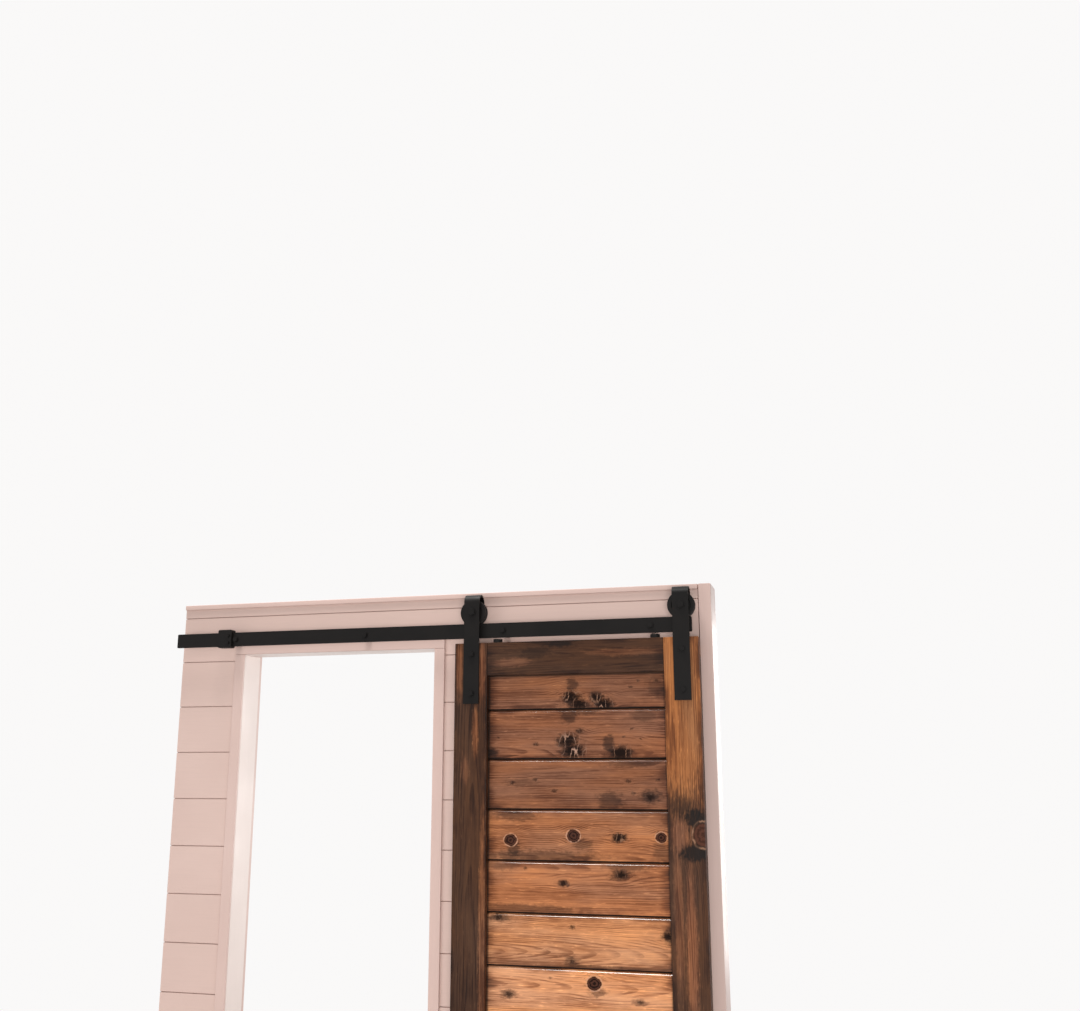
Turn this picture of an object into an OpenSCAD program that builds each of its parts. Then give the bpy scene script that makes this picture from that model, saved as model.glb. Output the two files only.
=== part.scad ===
// Sliding plank door that hangs by two strap hangers from a flat-bar track,
// with the bay of shiplap wall and the cased doorway that it covers.
// X runs along the wall, 0 at the centre of the open door. Y runs into the wall,
// 0 at mid-thickness, and the door side is -Y. Z is the height above the floor.

/* [Wall] */
// Height of the wall above the centre of the track
wall_above_track = 110; // [80:1:200]
// Depth of the studs
stud_d = 63.5; // [50:0.5:140]
// Wall past the left end of the track
wall_past_track = 1.5; // [0:0.5:400]
// Wall past the right edge of the open door
wall_right_w = 31.5; // [20:0.5:400]

/* [Shiplap] */
// Thickness of a shiplap board
shiplap_t = 12.7; // [9:0.1:25]
// Height of one course
shiplap_pitch = 130.3; // [80:0.1:200]
// Open gap between the faces of two boards
shiplap_gap = 2; // [1:0.1:6]
// Height of the hidden lap
shiplap_lap = 8; // [5:0.5:12]
// Seam nearest the ceiling, above the centre of the track
top_seam = 69.8; // [20:0.1:79]

/* [Doorway] */
// Clear width between the jambs
doorway_w = 591; // [450:1:900]
// Head of the doorway, below the centre of the track
doorway_drop = 41.2; // [40.4:0.1:120]
// Thickness of the lining boards
jamb_t = 19; // [12:0.5:20]
// Width of the flat casing
casing_w = 30; // [20:0.5:31]
// Thickness of the casing on the door side
casing_t = 8; // [5:0.5:9]
// Thickness of the casing on the far side
back_casing_t = 19; // [8:0.5:25]
// Strip of lining left bare inside the far casing
reveal = 4; // [2:0.5:10]
// Width of the corner boards
corner_w = 33; // [25:1:90]
// Height of the strip under the ceiling
ceiling_strip_h = 13.5; // [8:0.5:30]
// Thickness of the strip under the ceiling
ceiling_strip_t = 6; // [3:0.5:9]

/* [Door] */
// Width of the door
door_w = 665; // [600:1:740]
// Gap under the door
floor_gap = 12; // [9:0.5:25]
// Gap between the door's back and the face of the wall
back_gap = 15; // [13:0.5:20]
// Thickness of the plank layer
plank_t = 19; // [16:0.5:22]
// Height of one full plank
plank_pitch = 128.7; // [90:0.1:180]
// Height of the ripped plank at the top
top_plank_h = 53.4; // [30:0.1:80]
// Width of the bevel along each plank edge
plank_bevel = 4.5; // [1:0.1:5.5]
// Thickness of the face frame
frame_t = 19; // [15:0.5:22]
// Width of the upright frame boards
stile_w = 92; // [70:1:140]
// Height of the top and bottom frame boards
rail_h = 89; // [60:1:140]

/* [Track] */
// Height of the track's centre above the floor
track_z = 1970; // [1800:1:2400]
// Height of the flat bar
track_h = 40; // [36:0.5:44]
// Thickness of the flat bar
track_t = 6; // [5:0.5:7]
// Track past the end stop
track_past_stop = 138.2; // [20:0.1:400]
// Track past the right-hand axle
track_past_axle = 26.5; // [24:0.5:60]
// Length of the spacers behind the track
spacer_len = 32; // [31:0.1:33.5]
// Outer diameter of the spacers
spacer_d = 18; // [14:0.5:18.5]
// First bolt from the track's right end
bolt_inset = 110; // [80:1:150]
// Distance between the bolts
bolt_pitch = 406.4; // [380:0.1:420]
// Diameter of the bolt shanks
bolt_d = 8; // [6:0.5:9]
// Depth of a bolt in the studs
bolt_grip = 40; // [25:1:45]

/* [Hangers] */
// Middle of each hanger from the door's edge
hanger_inset = 46; // [40:0.5:50]
// Hangers and discs to the right of the door's centre
hardware_shift = 2; // [0:0.5:3]
// Width of the strap
strap_w = 43.5; // [30:0.5:46]
// Thickness of the strap
strap_t = 5; // [3:0.5:6]
// Bottom of the strap below the centre of the track
strap_drop = 198; // [185:1:240]
// Upper bolt below the centre of the track
upper_bolt_drop = 65; // [58:1:80]
// Lower bolt below the centre of the track
lower_bolt_drop = 170; // [130:1:172]
// Free space between the two legs of the strap
strap_throat = 36; // [34:0.5:38]
// Radius of the wheel in its groove
groove_r = 29.7; // [27:0.1:31]
// Radius of the wheel's flanges
flange_r = 36.2; // [32:0.1:36.7]
// Width of the wheel
wheel_w = 22; // [18:0.5:24]
// Space between the rims of the wheel and the bend above it
wheel_headroom = 4; // [3:0.1:6]
// Diameter of the axle
axle_d = 12; // [10:0.5:14]
// Diameter of the door bolts
door_bolt_d = 8; // [6:0.5:10]
// Diameter of the anti-jump discs
disc_d = 25; // [18:0.5:26]
// Thickness of the anti-jump discs
disc_t = 9.5; // [6:0.1:9.6]
// Middle of each disc from the upright frame boards
disc_inset = 24.5; // [16:0.5:90]

/* [Motion] */
// Travel of the door from open to closed
travel = 705; // [640:1:900]
// Width of the end stop
stop_w = 43; // [30:1:55]
// Space between the stop and the wheel of the closed door
stop_gap = 5.5; // [5:0.1:10]
// Guide blade inside the groove when the door is open or closed
blade_hold = 15; // [8:0.5:30]
// Thickness of the guide blade
blade_t = 6; // [4:0.5:8]
// Space on each side of the blade in the door's groove
blade_gap = 5; // [5:0.1:6]

/* [Hidden] */
// Clearances
shaft_clear = 0.05;
seat_clear = 0.3;
joint_gap = 0.4;
trim_gap = 2;

// Wall, from its mid-thickness outwards
core_y = stud_d / 2;
face_y = core_y + shiplap_t;
wall_h = track_z + wall_above_track;
doorway_x = -travel;
lining_l = doorway_x - doorway_w / 2 - jamb_t;
lining_r = doorway_x + doorway_w / 2 + jamb_t;
doorway_h = track_z - doorway_drop;
lining_h = doorway_h + jamb_t;
wall_r = door_w / 2 + wall_right_w;
end_board_x = wall_r - shiplap_t;
skin_r = wall_r - corner_w - trim_gap;
strip_z = wall_h - ceiling_strip_h;

// Door, from the face of the wall outwards
door_back = -face_y - back_gap;
plank_face = door_back - plank_t;
door_face = plank_face - frame_t;
under_track = 14.6;
door_top = track_z - track_h / 2 - under_track;
door_bottom = floor_gap;
stile_inner = door_w / 2 - stile_w;
tongue = 6;
tongue_fit = 0.3;
second_plank_top = door_top - top_plank_h;
plank_count = 1 + round((second_plank_top - door_bottom) / plank_pitch);

// Hangers along the door, and the discs between them
hanger_left_x = hardware_shift - door_w / 2 + hanger_inset;
hanger_right_x = hardware_shift + door_w / 2 - hanger_inset;
disc_left_x = hardware_shift - stile_inner + disc_inset;
disc_right_x = hardware_shift + stile_inner - disc_inset;

// Track, across the door's thickness
track_back = -face_y - spacer_len;
track_face = track_back - track_t;
track_corner = 3;
bolt_tip_y = -core_y + bolt_grip;
hex_h = 5.5;
lag_hex_d = 15;

// Hangers and wheels
axle_z = track_z + track_h / 2 + groove_r + seat_clear;
rim_edge = 1.2;
bend_r = strap_throat / 2;
bend_z = ceil(10 * (axle_z + flange_r - rim_edge
    - sqrt(pow(bend_r - wheel_headroom, 2) - pow(wheel_w / 2, 2)))) / 10;
strap_back = door_face;
strap_face = door_face - strap_t;
rear_leg = strap_back + strap_throat;
strap_bottom = track_z - strap_drop;
wheel_y = strap_back + strap_throat / 2;
axle_nut_t = 6;
axle_hex_d = 20;
door_hex_d = 15;
door_bolt_z = [track_z - upper_bolt_drop, track_z - lower_bolt_drop];
sleeve_nut_d = 16;
sleeve_nut_t = 2;
disc_y = (door_face + plank_face) / 2 + 3.5;
disc_screw_d = 4;
disc_screw_len = 25;

// End stop, a clamp round the bar
stop_over = 8;
stop_under = 4;
stop_wall = 8;
stop_corner = 4;
stop_screw_d = 9;
stop_screw_h = 4;
stop_top = track_h / 2 + stop_over;
stop_r = hanger_left_x - travel - stop_gap
    - ceil(10 * sqrt(pow(flange_r, 2) - pow(axle_z - track_z - stop_top, 2))) / 10;

// Track from past the stop to past the right axle, with bolts as far as it reaches
track_l = stop_r - stop_w - track_past_stop;
track_r = hanger_right_x + track_past_axle;
bolt_end = 60;
bolt_count = 1 + floor((track_r - track_l - bolt_inset - bolt_end) / bolt_pitch);
bolt_x = [for (i = [0:bolt_count - 1]) track_r - bolt_inset - i * bolt_pitch];
wall_l = track_l - wall_past_track;

// Floor guide
groove_w = blade_t + 2 * blade_gap;
groove_y = plank_face;
groove_h = 20;
blade_x = -travel / 2;
blade_len = max(travel - door_w, 0) + 2 * blade_hold;
guide_plate_w = 50;
guide_plate_h = 70;
guide_t = 4;
guide_arm_z = 2;
guide_tip_gap = 5;
guide_l = lining_r - jamb_t + casing_w + trim_gap;
guide_r = guide_l + guide_plate_w;

wall_paint = [0.86, 0.80, 0.78];
trim_paint = [0.90, 0.86, 0.84];
steel_black = [0.05, 0.05, 0.05];
stain_dark = [0.24, 0.13, 0.08];
stain_warm = [0.45, 0.25, 0.13];

// A block between two corners
module block(low, high) {
    translate(low) cube(high - low);
}

// A rectangle between two corners, with rounded corners
module rounded(low, high, r) {
    translate(low + [r, 0]) square(high - low - [2 * r, 0]);
    translate(low + [0, r]) square(high - low - [0, 2 * r]);
    for (x = [low[0] + r, high[0] - r], y = [low[1] + r, high[1] - r])
        translate([x, y]) circle(r = r, $fn = 32);
}

// A cylinder along +Y that starts at y
module rod_y(x, y, z, d, length) {
    translate([x, y, z]) rotate([-90, 0, 0]) cylinder(d = d, h = length, $fn = 48);
}

// A hexagonal head along +Y that starts at y
module hex_y(x, y, z, d, length) {
    translate([x, y, z]) rotate([-90, 0, 0]) cylinder(d = d, h = length, $fn = 6);
}

// The holes that the lag bolts leave behind the track, out to a little past their tips
module lag_holes() {
    for (x = bolt_x)
        rod_y(x, track_face - 1, track_z, bolt_d + 2 * shaft_clear, bolt_tip_y - track_face + 2);
}

// Wall core
module wall_left() {
    color(wall_paint) difference() {
        block([wall_l, -core_y, 0], [lining_l, core_y, wall_h]);
        lag_holes();
    }
}

module wall_right() {
    color(wall_paint) difference() {
        block([lining_r, -core_y, 0], [end_board_x, core_y, wall_h]);
        lag_holes();
    }
}

module wall_over_door() {
    color(wall_paint) difference() {
        block([lining_l, -core_y, lining_h], [lining_r, core_y, wall_h]);
        lag_holes();
    }
}

// Section of one shiplap board: 0 is its face, and its lap stands behind the next board up
module shiplap_section() {
    half = shiplap_t / 2;
    lap_foot = shiplap_gap + shiplap_lap + joint_gap;
    polygon([
        [0, shiplap_gap], [0, shiplap_pitch],
        [half + joint_gap, shiplap_pitch], [half + joint_gap, shiplap_pitch + shiplap_lap],
        [shiplap_t, shiplap_pitch + shiplap_lap], [shiplap_t, lap_foot],
        [half, lap_foot], [half, shiplap_gap]]);
}

// One course from seam z upwards, cut to the height of the wall
module shiplap_course(z) {
    intersection() {
        translate([wall_l, -face_y, z]) rotate([90, 0, 90])
            linear_extrude(height = skin_r - wall_l) shiplap_section();
        block([wall_l, -face_y, 0], [skin_r, -core_y, wall_h]);
    }
}

// All courses on one side of the wall, open at the doorway
module shiplap_skin() {
    top_z = track_z + top_seam;
    courses = ceil(top_z / shiplap_pitch);
    difference() {
        for (i = [0:courses]) shiplap_course(top_z - i * shiplap_pitch);
        block([lining_l, -face_y - 1, -1], [lining_r, -core_y + 1, lining_h]);
    }
}

module front_shiplap() {
    color(wall_paint) difference() {
        shiplap_skin();
        lag_holes();
    }
}

module back_shiplap() {
    color(wall_paint) mirror([0, 1, 0]) shiplap_skin();
}

// Doorway lining
module side_jamb(x) {
    color(trim_paint) block([x, -face_y, 0], [x + jamb_t, face_y, doorway_h]);
}

module jamb_left() {
    side_jamb(lining_l);
}

module jamb_right() {
    side_jamb(lining_r - jamb_t);
}

module head_jamb() {
    color(trim_paint) block([lining_l, -face_y, doorway_h], [lining_r, face_y, lining_h]);
}

// Flat casing on the door side, its inner edge in line with the lining
module side_casing(x) {
    color(trim_paint)
        block([x, -face_y - casing_t, 0], [x + casing_w, -face_y, doorway_h]);
}

module front_casing_left() {
    side_casing(lining_l + jamb_t - casing_w);
}

module front_casing_right() {
    side_casing(lining_r - jamb_t);
}

module front_head_casing() {
    color(trim_paint)
        block([lining_l + jamb_t - casing_w, -face_y - casing_t, doorway_h],
              [lining_r - jamb_t + casing_w, -face_y, doorway_h + casing_w]);
}

// Casing on the far side, thicker and set back from the lining's edge
module far_casing(x) {
    color(trim_paint)
        block([x, face_y, 0], [x + casing_w, face_y + back_casing_t, doorway_h + reveal]);
}

module back_casing_left() {
    far_casing(lining_l + jamb_t - reveal - casing_w);
}

module back_casing_right() {
    far_casing(lining_r - jamb_t + reveal);
}

module back_head_casing() {
    side = reveal + casing_w;
    color(trim_paint)
        block([lining_l + jamb_t - side, face_y, doorway_h + reveal],
              [lining_r - jamb_t + side, face_y + back_casing_t, doorway_h + side]);
}

// Outer corner of the wall
module front_corner_board() {
    color(trim_paint)
        block([wall_r - corner_w, -face_y - casing_t, 0], [wall_r, -core_y, wall_h]);
}

module back_corner_board() {
    mirror([0, 1, 0]) front_corner_board();
}

module end_board() {
    color(wall_paint) block([end_board_x, -core_y, 0], [wall_r, core_y, wall_h]);
}

module ceiling_strip() {
    color(trim_paint)
        block([wall_l, -face_y - ceiling_strip_t, strip_z], [skin_r, -face_y, wall_h]);
}

// Flat bar with its bolt holes and eased corners
module track() {
    color(steel_black) difference() {
        translate([0, track_back, track_z]) rotate([90, 0, 0]) linear_extrude(height = track_t)
            rounded([track_l, -track_h / 2], [track_r, track_h / 2], track_corner);
        for (x = bolt_x)
            rod_y(x, track_face - 1, track_z, bolt_d + 2 * shaft_clear, track_t + 2);
    }
}

// Tubes that hold the bar off the wall
module track_spacers() {
    color(steel_black) for (x = bolt_x) difference() {
        rod_y(x, track_back, track_z, spacer_d, spacer_len);
        rod_y(x, track_back - 1, track_z, bolt_d + 2 * shaft_clear, spacer_len + 2);
    }
}

// Hex-headed bolts through the bar and the spacers into the studs
module lag_bolts() {
    color(steel_black) for (x = bolt_x) union() {
        hex_y(x, track_face - hex_h, track_z, lag_hex_d, hex_h);
        rod_y(x, track_face, track_z, bolt_d, bolt_tip_y - track_face);
    }
}

// Clamp round the bar that stops the left wheel, held by two hex screws
module end_stop() {
    slot = seat_clear / 2;
    low_z = -track_h / 2 - stop_under;
    width = track_t + 2 * stop_wall;
    color(steel_black) difference() {
        union() {
            translate([0, track_back + stop_wall, track_z]) rotate([90, 0, 0])
                linear_extrude(height = width) rounded(
                    [stop_r - stop_w, low_z], [stop_r, stop_top], stop_corner);
            for (z = [-track_h / 4, track_h / 4])
                hex_y(stop_r - stop_w / 4, track_face - stop_wall - stop_screw_h,
                      track_z + z, stop_screw_d, stop_screw_h);
        }
        block([stop_r - stop_w - 1, track_face - slot, track_z - track_h / 2 - slot],
              [stop_r + 1, track_back + slot, track_z + track_h / 2 + slot]);
        for (x = bolt_x)
            rod_y(x, track_face - stop_wall - stop_screw_h - 1, track_z,
                  spacer_d + 2 * seat_clear, width + stop_screw_h + 2);
    }
}

// Bracket on the foot of the wall with a blade in the door's groove
module floor_guide() {
    blade_top = door_bottom + groove_h - guide_tip_gap;
    color(steel_black) union() {
        block([guide_l, -face_y - guide_t, guide_arm_z], [guide_r, -face_y, guide_plate_h]);
        block([guide_l, groove_y - blade_t / 2, guide_arm_z],
              [guide_r, -face_y, guide_arm_z + guide_t]);
        block([blade_x - blade_len / 2, groove_y - blade_t / 2, guide_arm_z],
              [blade_x + blade_len / 2, groove_y + blade_t / 2, blade_top]);
    }
}

// Groove along the door's bottom edge
module guide_groove() {
    block([-door_w, groove_y - groove_w / 2, door_bottom - 1],
          [door_w, groove_y + groove_w / 2, door_bottom + groove_h]);
}

// Holes for the hanger bolts, with a counterbore at the back for their sleeve nuts
module hanger_bolt_holes() {
    for (x = [hanger_left_x, hanger_right_x], z = door_bolt_z) {
        rod_y(x, strap_face - 1, z, door_bolt_d + 2 * shaft_clear, door_back - strap_face + 2);
        rod_y(x, door_back - sleeve_nut_t, z, sleeve_nut_d + 2 * shaft_clear, sleeve_nut_t + 1);
    }
}

// Upright frame board from x to x + stile_w
module stile(x) {
    color(stain_dark) difference() {
        block([x, door_face, door_bottom], [x + stile_w, plank_face, door_top]);
        hanger_bolt_holes();
        guide_groove();
    }
}

module stile_left() {
    stile(-door_w / 2);
}

module stile_right() {
    stile(door_w / 2 - stile_w);
}

module top_rail() {
    color(stain_dark) difference() {
        block([-stile_inner + joint_gap, door_face, door_top - rail_h],
              [stile_inner - joint_gap, plank_face, door_top]);
        for (x = [disc_left_x, disc_right_x])
            translate([x, disc_y, door_top - disc_screw_len])
                cylinder(d = disc_screw_d + 2 * shaft_clear, h = disc_screw_len + 1, $fn = 32);
    }
}

module bottom_rail() {
    color(stain_dark) difference() {
        block([-stile_inner + joint_gap, door_face, door_bottom],
              [stile_inner - joint_gap, plank_face, door_bottom + rail_h]);
        guide_groove();
    }
}

// Section of one plank of height h: bevelled edges, a tongue above and its groove below
module plank_section(h, tongue_up, groove_down) {
    b = plank_bevel;
    mid = plank_t / 2;
    half = tongue / 2;
    fit = half + tongue_fit;
    deep = tongue + tongue_fit;
    top = h - joint_gap;
    up = tongue_up ? [[mid - half, top], [mid - half, top + tongue],
                      [mid + half, top + tongue], [mid + half, top]] : [];
    down = groove_down ? [[mid + fit, 0], [mid + fit, deep], [mid - fit, deep], [mid - fit, 0]] : [];
    polygon(concat([[0, b], [0, top - b], [b, top]], up,
                   [[plank_t - b, top], [plank_t, top - b], [plank_t, b], [plank_t - b, 0]],
                   down, [[b, 0]]));
}

// Plank number i, counted from the top: the first and the last are ripped
module door_board(i) {
    high = i == 1 ? door_top : second_plank_top - (i - 2) * plank_pitch;
    low = i == plank_count ? door_bottom : second_plank_top - (i - 1) * plank_pitch;
    color(stain_warm) difference() {
        translate([-door_w / 2, plank_face, low]) rotate([90, 0, 90])
            linear_extrude(height = door_w) plank_section(high - low, i > 1, i < plank_count);
        hanger_bolt_holes();
        guide_groove();
    }
}

// Strap bent over the wheel: a long leg on the door's face and a short one behind the wheel
module hanger(x) {
    color(steel_black) difference() {
        translate([x - strap_w / 2, 0, 0]) rotate([90, 0, 90])
            linear_extrude(height = strap_w) strap_section();
        rod_y(x, strap_face - 1, axle_z, axle_d + 2 * shaft_clear, strap_throat + 2 * strap_t + 2);
        for (z = door_bolt_z)
            rod_y(x, strap_face - 1, z, door_bolt_d + 2 * shaft_clear, strap_t + 2);
    }
}

// Side view of the strap: the long leg, the half round over the wheel and the short leg
module strap_section() {
    translate([strap_face, strap_bottom]) square([strap_t, bend_z - strap_bottom]);
    translate([rear_leg, axle_z - strap_w / 2])
        square([strap_t, bend_z - axle_z + strap_w / 2]);
    translate([wheel_y, bend_z]) intersection() {
        difference() {
            circle(r = bend_r + strap_t, $fn = 96);
            circle(r = bend_r, $fn = 96);
        }
        translate([-bend_r - strap_t, 0]) square([2 * (bend_r + strap_t), bend_r + strap_t]);
    }
}

module hanger_left() {
    hanger(hanger_left_x);
}

module hanger_right() {
    hanger(hanger_right_x);
}

// Wheel bolt with its head, nut and the two sleeves that keep the wheel central
module axle(x) {
    sleeve_d = axle_d + 6;
    sleeve_len = (strap_throat - wheel_w) / 2 - seat_clear;
    color(steel_black) union() {
        hex_y(x, strap_face - hex_h, axle_z, axle_hex_d, hex_h);
        rod_y(x, strap_face, axle_z, axle_d, strap_throat + 2 * strap_t);
        hex_y(x, rear_leg + strap_t, axle_z, axle_hex_d, axle_nut_t);
        rod_y(x, strap_back, axle_z, sleeve_d, sleeve_len);
        rod_y(x, rear_leg - sleeve_len, axle_z, sleeve_d, sleeve_len);
    }
}

module axle_left() {
    axle(hanger_left_x);
}

module axle_right() {
    axle(hanger_right_x);
}

// Bolts that fasten the straps through the door
module hanger_bolts() {
    color(steel_black) for (x = [hanger_left_x, hanger_right_x], z = door_bolt_z) union() {
        hex_y(x, strap_face - hex_h, z, door_hex_d, hex_h);
        rod_y(x, strap_face, z, door_bolt_d, door_back - strap_face);
        rod_y(x, door_back - sleeve_nut_t, z, sleeve_nut_d, sleeve_nut_t);
    }
}

// Discs on the door's top edge that keep the wheels on the bar
module anti_jump_discs() {
    color(steel_black) for (x = [disc_left_x, disc_right_x])
        translate([x, disc_y, door_top]) union() {
            cylinder(d = disc_d, h = disc_t, $fn = 48);
            translate([0, 0, -disc_screw_len + 1])
                cylinder(d = disc_screw_d, h = disc_screw_len, $fn = 32);
        }
}

// Grooved roller
module wheel(x) {
    groove_half = track_t / 2 + 0.5;
    flare = 2;
    web = 3;
    hub_r = axle_d / 2 + 6;
    rim_r = groove_r - 4;
    half = wheel_w / 2;
    bore_r = axle_d / 2 + shaft_clear;
    color(steel_black) translate([x, wheel_y, axle_z]) rotate([90, 0, 0])
        rotate_extrude($fn = 96) polygon([
            [bore_r, -half], [hub_r, -half], [hub_r, -half + web], [rim_r, -half + web],
            [rim_r, -half], [flange_r - rim_edge, -half], [flange_r, -half + rim_edge],
            [flange_r, -groove_half - flare], [groove_r, -groove_half],
            [groove_r, groove_half], [flange_r, groove_half + flare],
            [flange_r, half - rim_edge], [flange_r - rim_edge, half], [rim_r, half],
            [rim_r, half - web], [hub_r, half - web], [hub_r, half], [bore_r, half]]);
}

module wheel_left() {
    wheel(hanger_left_x);
}

module wheel_right() {
    wheel(hanger_right_x);
}

wall_left();
wall_right();
wall_over_door();
front_shiplap();
back_shiplap();
jamb_left();
jamb_right();
head_jamb();
front_casing_left();
front_casing_right();
front_head_casing();
back_casing_left();
back_casing_right();
back_head_casing();
front_corner_board();
back_corner_board();
end_board();
ceiling_strip();
track();
track_spacers();
lag_bolts();
end_stop();
floor_guide();
stile_left();
stile_right();
top_rail();
bottom_rail();
hanger_left();
hanger_right();
axle_left();
axle_right();
hanger_bolts();
anti_jump_discs();
wheel_left();
wheel_right();
for (i = [1:plank_count])
    door_board(i);
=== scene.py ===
"""Sliding plank door with its flat-bar track, rolling hangers and shiplap wall bay.

Every length is in metres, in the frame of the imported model: X along the wall, Y into the
wall and Z above the floor. Wooden parts, steel parts and painted parts are bevelled copies
of their solids or new meshes; each board has grain and knots of its own.
"""

import logging
import math
import random
from dataclasses import dataclass
from enum import Enum

import bmesh
import bpy
from mathutils import Matrix, Vector


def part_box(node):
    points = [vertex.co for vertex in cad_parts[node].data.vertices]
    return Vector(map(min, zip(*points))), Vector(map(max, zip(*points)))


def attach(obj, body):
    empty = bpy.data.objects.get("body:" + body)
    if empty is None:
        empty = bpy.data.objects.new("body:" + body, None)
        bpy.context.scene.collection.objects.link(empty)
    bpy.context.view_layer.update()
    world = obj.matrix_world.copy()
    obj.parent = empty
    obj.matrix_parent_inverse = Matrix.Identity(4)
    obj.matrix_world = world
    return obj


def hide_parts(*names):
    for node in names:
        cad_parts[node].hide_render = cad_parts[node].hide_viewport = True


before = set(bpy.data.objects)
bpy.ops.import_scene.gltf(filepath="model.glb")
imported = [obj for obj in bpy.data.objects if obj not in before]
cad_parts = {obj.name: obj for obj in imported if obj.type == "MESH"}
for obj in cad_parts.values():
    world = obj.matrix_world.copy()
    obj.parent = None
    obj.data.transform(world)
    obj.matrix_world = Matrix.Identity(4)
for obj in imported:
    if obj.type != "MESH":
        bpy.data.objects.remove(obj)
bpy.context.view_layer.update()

log = logging.getLogger("plank_door")

Triple = tuple[float, float, float]
Colour = Triple
Socket = bpy.types.NodeSocket
Node = bpy.types.Node
Tree = bpy.types.NodeTree
Material = bpy.types.Material
Mesh = bmesh.types.BMesh

MERGE_DISTANCE = 1e-6
FLAT_ANGLE = math.radians(0.5)
SHARP_ANGLE = math.radians(30)
CREASE_ANGLE = math.radians(35)


def shade(red: int, green: int, blue: int) -> Colour:
    """Turns a colour written as screen values, from 0 to 255, into linear light."""
    return tuple(((c / 255 + 0.055) / 1.055) ** 2.4 for c in (red, green, blue))


def scaled(colour: Colour, factor: float = 1.0) -> tuple[float, float, float, float]:
    """Returns a colour times a factor, with an alpha of 1."""
    return (*(min(c * factor, 1.0) for c in colour), 1.0)


class Stain(Enum):
    """Tones of the wood stain."""

    UMBER = shade(76, 49, 33)
    RUSSET = shade(141, 92, 65)
    AMBER = shade(170, 112, 76)
    HONEY = shade(203, 142, 100)
    GOLD = shade(162, 105, 63)
    EBONY = shade(42, 28, 23)


HEARTWOOD = scaled(shade(90, 50, 34))
PALE_WOOD = scaled(shade(212, 164, 136))
KNOT_DYE = scaled(Stain.EBONY.value, 0.45)
# Painted shade: near black laid on the downward bevels of the V-grooves and in the corner by the face frame
PAINTED_GROOVE_SHADE = (0.012, 0.008, 0.006, 1.0)
SMOKE_CAST = (0.13, 0.13, 0.15, 1.0)
WARM_CAST = (1.06, 0.99, 0.88, 1.0)
COOL_CAST = (0.94, 1.0, 1.12, 1.0)

# What each knot adds to: how the rings are pushed aside, and what is dyed, heartwood or pale
KNOT_SUMS = ("Across", "Dark", "Core", "Light")


class KnotKind(Enum):
    """How a knot looks: how far it is a ringed disc, not a black smudge, and how dark its rings are."""

    BLACK = (0.0, 1.0)
    RINGED = (1.0, 1.0)
    RED = (1.0, 0.65)


class Grain(Enum):
    """Direction of a board's length."""

    ALONG_X = "x"
    ALONG_Z = "z"


class Layer(Enum):
    """Noises of the wood: cells a metre along, across and behind the face, octaves, and the shift."""

    DRIFT = ((3.0, 13.0, 13.0), 2.0, 0)
    RIPPLE = ((18.0, 90.0, 90.0), 2.0, 3)
    FADED = ((6.0, 55.0, 55.0), 3.0, 7)
    FIBRE = ((4.5, 330.0, 330.0), 5.0, 11)
    BAND = ((1.5, 28.0, 28.0), 3.0, 13)
    CLOUD = ((7.0, 20.0, 20.0), 4.0, 17)
    FLECK = ((38.0, 230.0, 230.0), 3.0, 19)
    HUE = ((3.0, 14.0, 14.0), 3.0, 23)
    SMOKE = ((70.0, 130.0, 1.0), 4.0, 29)


@dataclass(frozen=True)
class Knot:
    """A knot: its place on the face of the wall's X and Z, its radius and its kind."""

    x: float
    z: float
    radius: float = 0.006
    kind: KnotKind = KnotKind.BLACK


@dataclass(frozen=True)
class Patch:
    """A soft spot of another tone: its centre, its half sizes, its strength and the tone."""

    x: float
    z: float
    half_x: float
    half_z: float
    strength: float = 0.8
    stain: Stain = Stain.EBONY


@dataclass(frozen=True)
class BoardLook:
    """What sets one board apart: its tone, its heart and figure, its knots, its patches and its mottle."""

    stain: Stain
    heart: float = 0.01
    behind: float = 0.035
    lean: float = 0.05
    lift: float = 1.0
    figure: float = 0.55
    knots: tuple[Knot, ...] = ()
    patches: tuple[Patch, ...] = ()
    mottle: float = 1.0


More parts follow.
